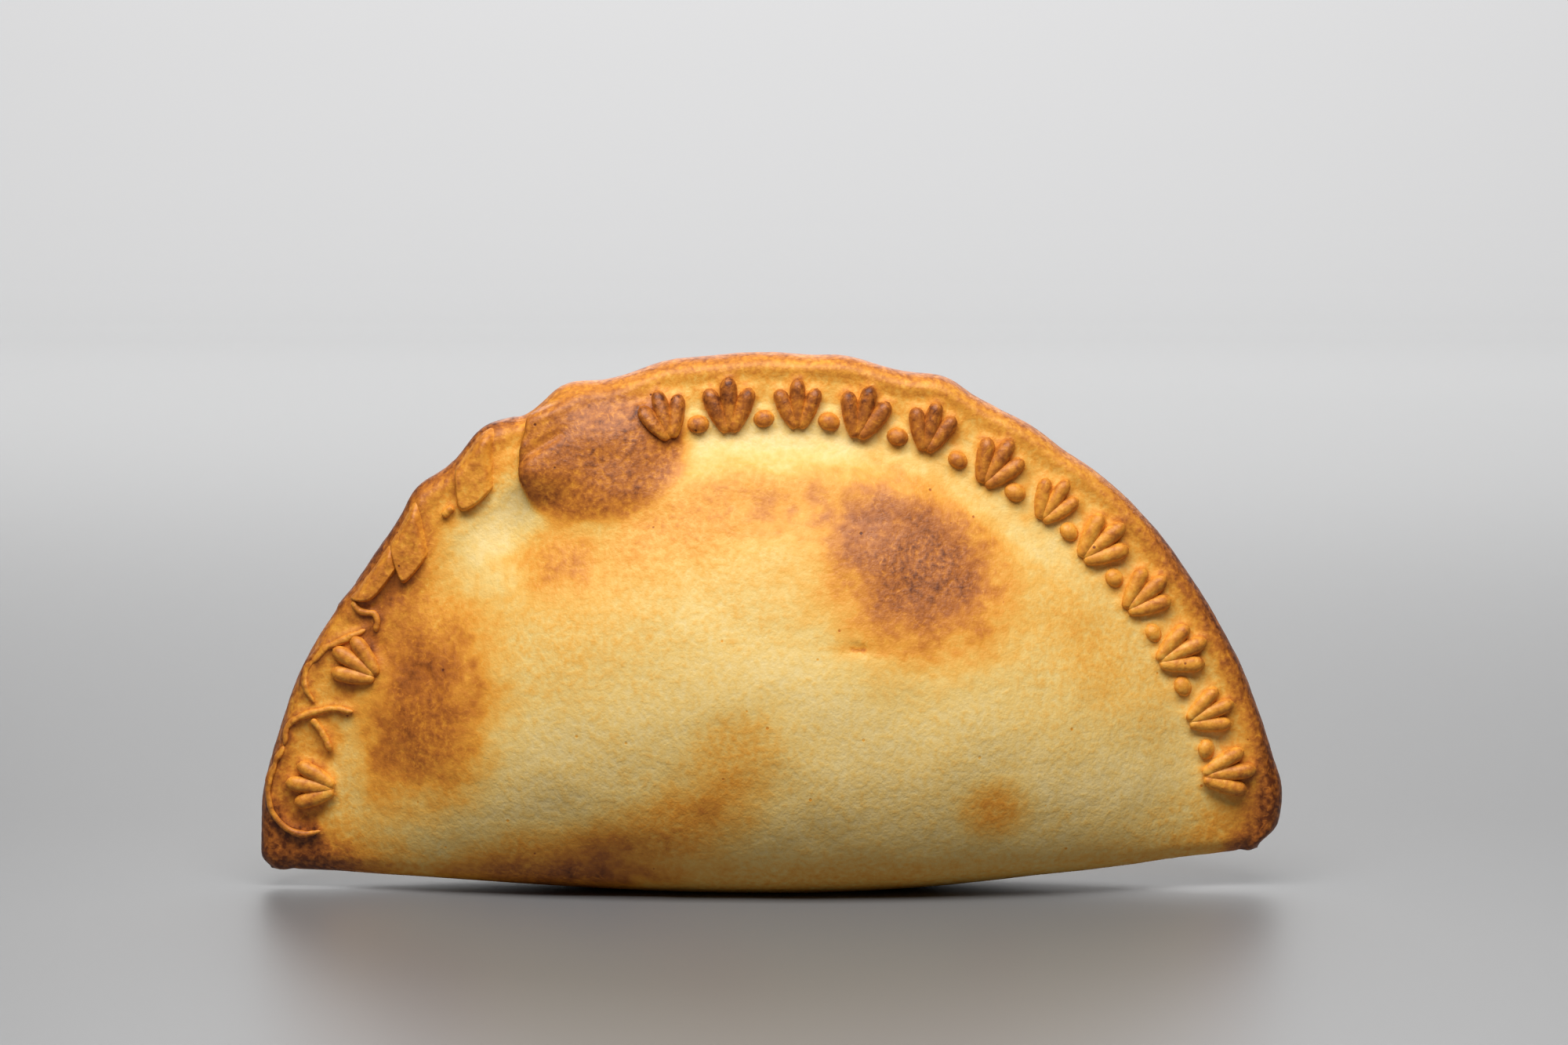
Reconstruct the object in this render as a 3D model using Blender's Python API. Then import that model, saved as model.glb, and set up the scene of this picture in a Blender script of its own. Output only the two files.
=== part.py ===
"""A baked half-moon pastry: a round disc of dough folded over a filling and sealed along its rim.

It stands on its folded edge. Metres, +Z up. The fold runs along X, the domed front faces -Y,
and the origin is the middle of the small flat spot that it rests on, in the plane of the seam.
"""

import math

import bmesh
import bpy
import numpy as np
from mathutils import Vector

MM = 0.001

# The dough disc and the way it is folded
DISC_RADIUS = 62.4 * MM
SEAM_CENTRE_HEIGHT = 3.35 * MM
FOLD_RISE_RIGHT = 2.5  # height of the fold's bend over its length squared, per metre
FOLD_RISE_LEFT = 1.6
FOLD_REACH_RIGHT = 70 * MM
FOLD_REACH_LEFT = 57 * MM
SKIRT_FADE = 12 * MM
FOLD_ROUNDNESS = 0.19  # share of the half section that the round fold takes up
RESTING_SPOT_DEPTH = 0.6 * MM

# The sealed rim
RIM_HALF_THICKNESS = 2.3 * MM
RIM_WIDTH_SIDES = 9.6 * MM
RIM_WIDTH_TOP = 12.3 * MM
SEAM_EDGE_ROUND = 2.0 * MM
FOLD_EDGE_ROUND = 2.4 * MM
VALLEY_SOFTNESS = 5.0 * MM

# Uneven places of the rim's outline: angle and half-width in degrees, height
RIM_LOBES = (
    (0.0, 2.0, -2.7 * MM),
    (8.0, 3.5, 0.6 * MM),
    (31.0, 9.0, -0.4 * MM),
    (55.0, 3.0, -0.4 * MM),
    (70.5, 3.0, 1.1 * MM),
    (82.0, 4.0, 0.6 * MM),
    (91.5, 4.0, 0.4 * MM),
    (101.0, 4.0, 0.6 * MM),
    (113.0, 3.4, 1.5 * MM),
    (123.0, 3.4, 1.5 * MM),
    (133.0, 2.8, 0.9 * MM),
    (144.0, 9.0, -1.4 * MM),
    (172.0, 4.5, 0.6 * MM),
    (180.0, 0.9, -1.2 * MM),
)
LOBE_FADE = 6  # power of the radius with which the lobes die away inwards

# The filled belly: its depth beyond the rim, and how fast it rises
FRONT_BELLY = 17.6 * MM
FRONT_RISE = 16.0 * MM
BACK_BELLY = 14.2 * MM
BACK_RISE = 12.5 * MM
BELLY_FOOT = 32.0 * MM
BELLY_FOOT_POWER = 2.4
BELLY_UNEVENNESS = 0.35 * MM
CROSSWISE_WAVE = 13 * MM
UPWARD_WAVE = 11 * MM
SLANTED_WAVE_ALONG = 21 * MM
SLANTED_WAVE_UP = 17 * MM

# The big blister by the rim: place, half sizes and height
BLISTER_ANGLE = 113.0
BLISTER_INSET = 8.2 * MM
BLISTER_LENGTH = 9.6 * MM
BLISTER_WIDTH = 6.2 * MM
BLISTER_HEIGHT = 2.9 * MM
BLISTER_STEEPNESS = 1.6

# The raised border: sprays of three petals that open towards the seam, and beads between their feet
SPRAY_PITCH = 8.4
SPRAY_ANGLES = (*(11.0 + SPRAY_PITCH * i for i in range(12)), 153.5, 169.5)
BEAD_ANGLES = tuple(15.2 + SPRAY_PITCH * i for i in range(11))
SPRAY_INSET = 5.6 * MM
SPRAY_FOOT = 3.1 * MM
SPRAY_TILT = 5.0
MIDDLE_PETAL = 6.2 * MM
SIDE_PETAL = 4.9 * MM
PETAL_SPREAD = 2.5 * MM
PETAL_CURL = 0.75  # power with which a side petal swings out; under 1 it opens early
PETAL_RADIUS = 0.95 * MM
PETAL_SWELLING = (0.55, 0.95, 1.0, 0.5)  # shares of the radius from foot to tip
PETAL_LIFT = 0.45 * MM
BEAD_RADIUS = 1.15 * MM
BEAD_INSET = 7.6 * MM
BEAD_LIFT = 0.2 * MM

# The plain slanted tabs on the upper left: where, how deep, and an outline of clockwise and outward steps
TABS = ((126.7, 1.0), (138.0, 1.0), (142.4, 0.6))
TAB_THICKNESS = 3.0 * MM
TAB_LIFT = 0.9 * MM
TAB_EDGE = 0.5 * MM
TAB_OUTLINE = (
    (-1.8 * MM, -0.6 * MM),
    (-4.5 * MM, -2.5 * MM),
    (-5.4 * MM, -5.5 * MM),
    (0.0 * MM, -5.9 * MM),
    (1.9 * MM, -3.0 * MM),
    (4.3 * MM, -1.0 * MM),
    (3.0 * MM, -0.2 * MM),
)

# Thin wandering ridges where dough was squeezed out, as angle and inset from the seam
SQUEEZED_RIDGES = {
    "left_hook": ((165.6, 1.3), (168.5, 0.9), (172.0, 1.2), (174.6, 3.0), (175.4, 5.4), (174.6, 7.6)),
    "left_cross": ((158.8, 8.0), (159.6, 5.6), (161.2, 3.0), (163.4, 1.2), (165.6, 1.3)),
    "left_curl": ((161.6, 3.6), (162.8, 5.4), (164.6, 7.0)),
    "left_edge": ((149.0, 4.4), (152.6, 2.2), (155.8, 0.9), (158.2, 1.4), (159.8, 3.4)),
    "upper_curl": ((147.2, 1.0), (147.6, 2.6), (147.0, 4.6), (148.6, 5.8)),
    "tab_link": ((131.0, 4.1), (132.6, 4.2)),
}
RIDGE_RADIUS = 0.5 * MM
RIDGE_LIFT = 0.15 * MM

# Fineness of the solids
DISC_GRID = 54
RIM_GRADING = 1.40
RIDGE_ROUNDNESS = 1
TAB_EDGE_STEPS = 2
BEAD_SEGMENTS = 8
BEAD_RINGS = 5
WELD = 0.01 * MM
SHARPEST_SMOOTH_EDGE = math.radians(40)

CRUST_COLOUR = (0.78, 0.45, 0.13, 1.0)
CRUST_ROUGHNESS = 0.62


def clear_scene():
    for found in list(bpy.data.objects):
        bpy.data.objects.remove(found, do_unlink=True)
    for found in list(bpy.data.collections):
        bpy.data.collections.remove(found)


def new_collection(name):
    collection = bpy.data.collections.new(name)
    bpy.context.scene.collection.children.link(collection)
    return collection


def new_object(name, data, collection):
    made = bpy.data.objects.new(name, data)
    collection.objects.link(made)
    return made


def crust_material():
    material = bpy.data.materials.new("baked_crust")
    material.use_nodes = True
    shader = material.node_tree.nodes["Principled BSDF"]
    shader.inputs["Base Color"].default_value = CRUST_COLOUR
    shader.inputs["Roughness"].default_value = CRUST_ROUGHNESS
    shader.inputs["Metallic"].default_value = 0.0
    return material


def round_over(distance, width):
    """A quarter circle from 0 at an edge to 1 at width from it."""
    left = 1 - np.clip(distance / width, 0, 1)
    return np.sqrt(1 - left**2)


def rim_lobes(angle):
    """How far the rim's outline stands out of the circle, at an angle in degrees."""
    return sum(height * np.exp(-(((angle - at) / width) ** 2)) for at, width, height in RIM_LOBES)


def fold_height(along):
    """Height of the folded edge above the lowest point, along X."""
    rise = np.where(along > 0, FOLD_RISE_RIGHT, FOLD_RISE_LEFT)
    reach = np.where(along > 0, FOLD_REACH_RIGHT, FOLD_REACH_LEFT)
    return rise * along**2 / (1 + (along / reach) ** 2)


def blister(along, up):
    """Height of the big blister over the front, near the rim."""
    angle = math.radians(BLISTER_ANGLE)
    reach = DISC_RADIUS - BLISTER_INSET
    aside = along - reach * math.cos(angle)
    above = up - reach * math.sin(angle)
    outward = aside * math.cos(angle) + above * math.sin(angle)
    clockwise = aside * math.sin(angle) - above * math.cos(angle)
    spread = (outward / BLISTER_WIDTH) ** 2 + (clockwise / BLISTER_LENGTH) ** 2
    return BLISTER_HEIGHT * np.exp(-(spread**BLISTER_STEEPNESS))


def half_thickness(along, up, inset, front):
    """Depth of the pastry on one side of the seam's plane: rim, filled belly and, in front, the blister."""
    rim = RIM_HALF_THICKNESS * round_over(up, FOLD_EDGE_ROUND)
    rim_width = RIM_WIDTH_SIDES + (RIM_WIDTH_TOP - RIM_WIDTH_SIDES) * np.clip(up / DISC_RADIUS, 0, 1) ** 2
    beyond = inset - rim_width
    ramp = 0.5 * (beyond + np.sqrt(beyond**2 + VALLEY_SOFTNESS**2))
    rise = 1 - np.exp(-ramp / np.where(front, FRONT_RISE, BACK_RISE))
    foot_left = 1 - np.clip(up / BELLY_FOOT, 0, 1)
    foot = (1 - foot_left**BELLY_FOOT_POWER) ** (1 / BELLY_FOOT_POWER)
    waves = np.sin(along / CROSSWISE_WAVE + 0.7) * np.cos(up / UPWARD_WAVE)
    waves += np.sin(along / SLANTED_WAVE_ALONG - up / SLANTED_WAVE_UP)
    belly = np.where(front, FRONT_BELLY, BACK_BELLY) + BELLY_UNEVENNESS * waves
    swelling = np.where(front, blister(along, up), 0)
    return (rim + belly * rise * foot + swelling) * round_over(inset, SEAM_EDGE_ROUND)


def standing_height(along, up):
    """Height over the table of a point that lies up above the fold."""
    drop = SEAM_CENTRE_HEIGHT - fold_height(along)
    z = SEAM_CENTRE_HEIGHT + up - drop * np.exp(-up / SKIRT_FADE)
    return np.maximum(z - RESTING_SPOT_DEPTH, 0)


def disc_of_square(across, up):
    """Bends a square sheet, -1 to 1 each way, into a round one, ring by ring."""
    flat = np.abs(across) >= np.abs(up)
    ring = np.where(flat, across, up)
    turn = np.divide(np.where(flat, up, across), ring, out=np.zeros_like(ring), where=ring != 0)
    quarter = math.pi / 4 * turn
    angle = np.where(flat, quarter, math.pi / 2 - quarter)
    graded = np.sign(ring) * np.sin(np.abs(ring) * RIM_GRADING) / math.sin(RIM_GRADING)
    return graded * np.cos(angle), graded * np.sin(angle)


def folded(across, up):
    """Folds the unit disc along its X axis and fills it: the place of each point, in front where up > 0."""
    front = up > 0
    half_chord = np.sqrt(np.clip(1 - across**2, 0, None))
    share = np.divide(np.abs(up), half_chord, out=np.zeros_like(up), where=half_chord > 1e-9)
    eased = np.hypot(share, FOLD_ROUNDNESS) - FOLD_ROUNDNESS
    height = half_chord * eased / (math.hypot(1, FOLD_ROUNDNESS) - FOLD_ROUNDNESS)
    ring = np.clip(np.hypot(across, height), 0, 1)
    lobes = rim_lobes(np.degrees(np.arctan2(height, across)))
    scale = DISC_RADIUS + lobes * ring**LOBE_FADE
    inset = scale * (1 - ring)
    thickness = half_thickness(scale * across, scale * height, inset, front)
    z = standing_height(scale * across, scale * height)
    return np.stack([scale * across, np.where(front, -thickness, thickness), z], axis=1)


def folded_pastry(name, collection):
    """A square grid rounded into a disc, folded, filled and sealed along its edge."""
    mesh = bmesh.new()
    bmesh.ops.create_grid(mesh, x_segments=DISC_GRID, y_segments=DISC_GRID, size=1.0)
    flat = np.array([vertex.co for vertex in mesh.verts])
    for vertex, place in zip(mesh.verts, folded(*disc_of_square(flat[:, 0], flat[:, 1]))):
        vertex.co = place
    bmesh.ops.remove_doubles(mesh, verts=mesh.verts, dist=WELD)
    bmesh.ops.recalc_face_normals(mesh, faces=mesh.faces)
    data = bpy.data.meshes.new(name)
    mesh.to_mesh(data)
    mesh.free()
    return new_object(name, data, collection)


def on_front(angle, inset, lift):
    """The point of the front at an angle and an inset from the seam, lifted off the surface."""
    turn = math.radians(angle)
    reach = DISC_RADIUS + rim_lobes(angle) * (1 - inset / DISC_RADIUS) ** LOBE_FADE - inset
    along = reach * math.cos(turn)
    up = reach * math.sin(turn)
    depth = half_thickness(along, up, max(inset, SEAM_EDGE_ROUND), True)
    return Vector((along, -(float(depth) + lift), float(standing_height(along, up))))


def stepped(angle, inset, clockwise, outward):
    """The angle and inset of a place that lies some way clockwise and outward from another."""
    return angle - math.degrees(clockwise / (DISC_RADIUS - inset)), inset - outward


def mesh_of_curve(curve, name, collection):
    """A curve's closed mesh, with its caps welded on."""
    guide = new_object(name + "_guide", curve, collection)
    graph = bpy.context.evaluated_depsgraph_get()
    data = bpy.data.meshes.new_from_object(guide.evaluated_get(graph))
    bpy.data.objects.remove(guide)
    mesh = bmesh.new()
    mesh.from_mesh(data)
    bmesh.ops.remove_doubles(mesh, verts=mesh.verts, dist=WELD)
    bmesh.ops.recalc_face_normals(mesh, faces=mesh.faces)
    mesh.to_mesh(data)
    mesh.free()
    return new_object(name, data, collection)


def ridge(name, points, radii, collection):
    """A round bead of dough that follows its points, with its radius at each."""
    curve = bpy.data.curves.new(name, "CURVE")
    curve.dimensions = "3D"
    curve.bevel_depth = 1.0
    curve.bevel_resolution = RIDGE_ROUNDNESS
    curve.use_fill_caps = True
    path = curve.splines.new("POLY")
    path.points.add(len(points) - 1)
    for point, place, radius in zip(path.points, points, radii):
        point.co = (*place, 1)
        point.radius = radius
    return mesh_of_curve(curve, name, collection)


def petal(name, angle, tilt, side, length, collection):
    """One petal of a spray: side is -1, 0 or 1, from anticlockwise to clockwise."""
    points = []
    lean = math.radians(tilt)
    for step in range(len(PETAL_SWELLING)):
        share = step / (len(PETAL_SWELLING) - 1)
        across = side * PETAL_SPREAD * share**PETAL_CURL
        outward = length * share - SPRAY_FOOT
        clockwise = across * math.cos(lean) + outward * math.sin(lean)
        outward = outward * math.cos(lean) - across * math.sin(lean)
        points.append(on_front(*stepped(angle, SPRAY_INSET, clockwise, outward), PETAL_LIFT))
    ridge(name, points, [PETAL_RADIUS * swelling for swelling in PETAL_SWELLING], collection)


def bead(name, angle, collection):
    bpy.ops.mesh.primitive_uv_sphere_add(
        segments=BEAD_SEGMENTS,
        ring_count=BEAD_RINGS,
        radius=BEAD_RADIUS,
        location=on_front(angle, BEAD_INSET, BEAD_LIFT),
    )
    made = bpy.context.object
    made.name = name
    for holder in list(made.users_collection):
        holder.objects.unlink(made)
    collection.objects.link(made)


def slanted_tab(name, angle, depth, collection):
    """A plain slanted pad that reaches to the seam, with a rounded upper edge."""
    curve = bpy.data.curves.new(name, "CURVE")
    curve.dimensions = "2D"
    curve.fill_mode = "BOTH"
    curve.extrude = TAB_THICKNESS / 2
    outline = curve.splines.new("POLY")
    outline.points.add(len(TAB_OUTLINE) - 1)
    for point, (clockwise, outward) in zip(outline.points, TAB_OUTLINE):
        point.co = (clockwise, outward * depth, 0, 1)
    outline.use_cyclic_u = True
    tab = mesh_of_curve(curve, name, collection)
    mesh = bmesh.new()
    mesh.from_mesh(tab.data)
    rounded = [edge for edge in mesh.edges if all(v.co.z > 0 for v in edge.verts)]
    bmesh.ops.bevel(
        mesh,
        geom=rounded,
        offset=TAB_EDGE,
        segments=TAB_EDGE_STEPS,
        profile=0.5,
        affect="EDGES",
        clamp_overlap=True,
    )
    for vertex in mesh.verts:
        clockwise, outward, lift = vertex.co
        vertex.co = on_front(*stepped(angle, 0, clockwise, outward), TAB_LIFT - TAB_THICKNESS / 2 + lift)
    mesh.to_mesh(tab.data)
    mesh.free()


def raised_marks(collection):
    """Every mark that stands out of the rim's front."""
    for number, angle in enumerate(SPRAY_ANGLES):
        tilt = SPRAY_TILT * (-1) ** number
        petal(f"spray_{number}_left", angle, tilt, -1, SIDE_PETAL, collection)
        petal(f"spray_{number}_middle", angle, tilt, 0, MIDDLE_PETAL, collection)
        petal(f"spray_{number}_right", angle, tilt, 1, SIDE_PETAL, collection)
    for number, angle in enumerate(BEAD_ANGLES):
        bead(f"bead_{number}", angle, collection)
    for number, (angle, depth) in enumerate(TABS):
        slanted_tab(f"tab_{number}", angle, depth, collection)
    for name, path in SQUEEZED_RIDGES.items():
        points = [on_front(angle, inset * MM, RIDGE_LIFT) for angle, inset in path]
        ridge(name, points, [RIDGE_RADIUS] * len(points), collection)


def fuse(pastry, collection):
    """Fuses the raised marks to the pastry, and removes their own objects."""
    union = pastry.modifiers.new("raised_marks", "BOOLEAN")
    union.operation = "UNION"
    union.operand_type = "COLLECTION"
    union.collection = collection
    union.solver = "MANIFOLD"
    graph = bpy.context.evaluated_depsgraph_get()
    data = bpy.data.meshes.new_from_object(pastry.evaluated_get(graph))
    pastry.modifiers.clear()
    pastry.data = data
    for mark in list(collection.objects):
        bpy.data.objects.remove(mark, do_unlink=True)
    bpy.data.collections.remove(collection)


def main():
    clear_scene()
    parts = new_collection("empanada")
    marks = new_collection("raised_marks")
    pastry = folded_pastry("empanada", parts)
    raised_marks(marks)
    fuse(pastry, marks)
    pastry.data.materials.clear()
    pastry.data.materials.append(crust_material())
    pastry.data.shade_smooth()
    pastry.data.set_sharp_from_angle(angle=SHARPEST_SMOOTH_EDGE)


main()
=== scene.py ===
import math

import bmesh
import bpy
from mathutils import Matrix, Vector


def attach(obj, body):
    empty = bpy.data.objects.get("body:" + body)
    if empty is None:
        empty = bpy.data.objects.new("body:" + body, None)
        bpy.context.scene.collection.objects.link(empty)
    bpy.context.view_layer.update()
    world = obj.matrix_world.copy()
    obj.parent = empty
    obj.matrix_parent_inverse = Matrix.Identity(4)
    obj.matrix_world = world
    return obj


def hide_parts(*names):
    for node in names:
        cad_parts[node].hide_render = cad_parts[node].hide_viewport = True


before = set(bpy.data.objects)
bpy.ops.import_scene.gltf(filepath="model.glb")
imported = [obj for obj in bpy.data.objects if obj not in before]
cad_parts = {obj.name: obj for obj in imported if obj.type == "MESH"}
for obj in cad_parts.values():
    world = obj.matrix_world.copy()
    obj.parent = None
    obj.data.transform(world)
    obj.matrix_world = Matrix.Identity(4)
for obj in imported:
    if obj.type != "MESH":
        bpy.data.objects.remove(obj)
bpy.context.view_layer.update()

MM = 0.001

# The dough disc, its fold and its rim
DOUGH_SIZES = {
    "Disc Radius": 62.4 * MM,
    "Seam Height": 3.35 * MM,
    "Fold Rise Right": 2.5,
    "Fold Rise Left": 1.6,
    "Fold Reach Right": 70 * MM,
    "Fold Reach Left": 57 * MM,
    "Skirt Fade": 12 * MM,
    "Fold Roundness": 0.19,
    "Resting Depth": 0.6 * MM,
    "Rim Half Thickness": 2.3 * MM,
    "Rim Width Sides": 9.6 * MM,
    "Rim Width Top": 12.3 * MM,
    "Seam Edge Round": 2.0 * MM,
    "Fold Edge Round": 2.4 * MM,
    "Valley Softness": 5.0 * MM,
    "Front Belly": 17.6 * MM,
    "Front Rise": 16.0 * MM,
    "Back Belly": 14.2 * MM,
    "Back Rise": 12.5 * MM,
    "Belly Foot": 32.0 * MM,
    "Belly Foot Power": 2.4,
    "Belly Unevenness": 0.35 * MM,
    "Blister Angle": math.radians(113.0),
    "Blister Inset": 8.2 * MM,
    "Blister Length": 9.6 * MM,
    "Blister Width": 6.2 * MM,
    "Blister Height": 2.9 * MM,
    "Blister Steepness": 1.6,
}

# Uneven places of the rim's outline: angle and half-width in degrees, height
RIM_LOBES = (
    (0.0, 2.0, -2.7 * MM),
    (8.0, 3.5, 0.6 * MM),
    (31.0, 9.0, -0.4 * MM),
    (55.0, 3.0, -0.4 * MM),
    (70.5, 3.0, 1.1 * MM),
    (82.0, 4.0, 0.6 * MM),
    (91.5, 4.0, 0.4 * MM),
    (101.0, 4.0, 0.6 * MM),
    (113.0, 3.4, 1.5 * MM),
    (123.0, 3.4, 1.5 * MM),
    (133.0, 2.8, 0.9 * MM),
    (144.0, 9.0, -1.4 * MM),
    (172.0, 4.5, 0.6 * MM),
    (180.0, 0.9, -1.2 * MM),
)
LOBE_FADE = 6

# Fine relief of the dough: its lumps, ripples and grain, and the low ridges along its rim and belly
RELIEF_SIZES = {
    "Lump Grain": 13.0 * MM,
    "Lump Height": 0.9 * MM,
    "Ripple Grain": 3.2 * MM,
    "Ripple Height": 0.17 * MM,
    "Fine Grain": 1.1 * MM,
    "Fine Height": 0.09 * MM,
    "Resting Rim": 0.3 * MM,
    "Settled Height": 4.0 * MM,
    "Mark Foot Width": 0.55 * MM,
    "Mark Foot Height": 0.3 * MM,
    "Blister Lip": 1.7 * MM,
    "Wrinkle Depth": 0.48 * MM,
    "Crack Depth": 0.5 * MM,
    "Crest Inset": 14.2 * MM,
    "Crest Width": 2.6 * MM,
    "Crest Height": 0.5 * MM,
    "Crest Middle": 4.0 * MM,
    "Crest Full": 12.0 * MM,
    "Crest Reach": 34.0 * MM,
    "Edge Lip Grain": 5.0 * MM,
    "Edge Lip Inset": 1.5 * MM,
    "Edge Lip Width": 0.9 * MM,
    "Edge Lip Height": 0.20 * MM,
    "Edge Groove Inset": 3.1 * MM,
    "Edge Groove Width": 0.6 * MM,
    "Edge Groove Depth": 0.1 * MM,
}

# The crisp left side of the blister and the wrinkle on it, from the blister's middle
BLISTER_SIDE = {
    "Left": 9.0 * MM,
    "Bend": 0.068 / MM,
    "Wrinkle Outward": 5.0 * MM,
    "Wrinkle Lean": 0.236,
    "Wrinkle Width": 0.65 * MM,
    "Shoulder": 0.15,
}

# The small crack in the belly: its place, its lean and the faint crease round it
CRACK = {
    "Along": 10.4 * MM,
    "Up": 28.6 * MM,
    "Lean": 0.06,
    "Wander": 0.6 * MM,
    "Crease": 0.25,
    "Crease Width": 0.7 * MM,
    "Split Width": 0.25 * MM,
}

# How uneven all marks are, and the share of their width that is left at their very ends
MARK_GRAIN = 1.6 * MM
MARK_UNEVENNESS = 0.22 * MM
LEAST_END = 0.02

# How much chance shifts, turns and sizes the sprays and beads
ANGLE_CHANCE = math.radians(0.5)
LEAN_CHANCE = 0.6
LEAST_GROWTH, MOST_GROWTH = 0.93, 1.07

# The raised border: sprays of three petals with a bead between each two
SPRAY_SIZES = {
    "Pitch": math.radians(8.4),
    "Inset": 5.6 * MM,
    "Foot": 3.1 * MM,
    "Tilt": math.radians(5.0),
    "Middle Length": 6.2 * MM,
    "Side Length": 4.9 * MM,
    "Spread": 2.5 * MM,
    "Curl": 0.75,
    "Petal Radius": 1.0 * MM,
    "Petal Lift": 0.5 * MM,
    "Waist": 0.62,
    "Foot Round": 0.14,
    "Tip Round": 0.2,
}
RIGHT_SPRAYS = {"First Angle": math.radians(11.0), "Count": 12, "Seed": 3}
LEFT_SPRAYS = {"First Angle": math.radians(153.5), "Pitch": math.radians(16.0), "Count": 2, "Seed": 8}
BEAD_SIZES = {
    "First Angle": math.radians(15.2),
    "Pitch": math.radians(8.4),
    "Count": 11,
    "Seed": 5,
    "Inset": 7.6 * MM,
    "Bead Radius": 1.15 * MM,
    "Bead Lift": 0.2 * MM,
    "Bead Flatness": 0.85,
}

# Three slanted tabs: the angle of each, its reach as a share of the longest, and its left edge's lean
TABS = ((126.9, 1.0, 0.78), (138.2, 1.0, 0.78), (141.6, 0.6, -0.3))
TAB_SIZES = {
    "Patch Width": 15.5 * MM,
    "Patch Reach": 6.9 * MM,
    "Outermost": 0.3 * MM,
    "Corner Clockwise": -5.5 * MM,
    "Corner Inset": 5.7 * MM,
    "Foot Lean": -0.01,
    "Right Clockwise": 2.6 * MM,
    "Right Lean": -0.82,
    "Tab Lift": 1.25 * MM,
    "Sunk": 0.5 * MM,
    "Edge Width": 0.5 * MM,
    "Corner Roundness": 1.7 * MM,
    "Merge Width": 3.2 * MM,
    "Seam Round": 1.3 * MM,
    "Patch Thickness": 1.3 * MM,
}

# Thin wandering ridges where dough was squeezed out, as angle in degrees and inset in mm
SQUEEZED_RIDGES = {
    "left_hook": ((165.6, 1.3), (168.5, 0.9), (172, 1.2), (174.6, 3), (175.4, 5.4), (174.6, 7.6)),
    "left_cross": ((158.8, 8), (159.6, 5.6), (161.2, 3), (163.4, 1.2), (165.6, 1.3)),
    "left_curl": ((161.6, 3.6), (162.8, 5.4), (164.6, 7)),
    "left_edge": ((149.0, 4.4), (152.6, 2.2), (155.8, 0.9), (158.2, 1.4), (159.8, 3.4)),
    "upper_curl": ((147.2, 1.0), (147.6, 2.6), (147.0, 4.6), (148.6, 5.8)),
    "tab_link": ((131.0, 4.1), (132.6, 4.2)),
}
RIDGE_SIZES = {
    "Ridge Radius": 0.42 * MM,
    "Ridge Lift": 0.4 * MM,
    "Wander": 0.8 * MM,
    "Wander Grain": 2.5 * MM,
}


class Number:
    """A socket that carries a number. Python's operators on it add Math nodes to its tree."""

    def __init__(self, tree, socket):
        self.tree = tree
        self.socket = socket

    def __add__(self, other):
        return self.tree.math("ADD", self, other)

    def __radd__(self, other):
        return self.tree.math("ADD", other, self)

    def __sub__(self, other):
        return self.tree.math("SUBTRACT", self, other)

    def __rsub__(self, other):
        return self.tree.math("SUBTRACT", other, self)

    def __mul__(self, other):
        return self.tree.math("MULTIPLY", self, other)

    def __rmul__(self, other):
        return self.tree.math("MULTIPLY", other, self)

    def __truediv__(self, other):
        return self.tree.math("DIVIDE", self, other)

    def __rtruediv__(self, other):
        return self.tree.math("DIVIDE", other, self)

    def __pow__(self, other):
        return self.tree.math("POWER", self, other)

    def __neg__(self):
        return self.tree.math("MULTIPLY", self, -1)

    def __abs__(self):
        return self.tree.math("ABSOLUTE", self)

    def __gt__(self, other):
        return self.tree.math("GREATER_THAN", self, other)

    def above(self, least):
        return self.tree.math("MAXIMUM", self, least)

    def below(self, most):
        return self.tree.math("MINIMUM", self, most)

    def clamped(self):
        return self.above(0).below(1)

    def root(self):
        return self.tree.math("SQRT", self)

    def exp(self):
        return self.tree.math("EXPONENT", self)

    def sine(self):
        return self.tree.math("SINE", self)

    def cosine(self):
        return self.tree.math("COSINE", self)

    def step(self, low, high):
        """0 below low, 1 above high, and a smooth way between; low may be the larger."""
        made = self.tree.node(
            "ShaderNodeMapRange",
            {"interpolation_type": "SMOOTHSTEP"},
            {"Value": self, "From Min": low, "From Max": high},
        )
        return Number(self.tree, made.outputs["Result"])


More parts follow.
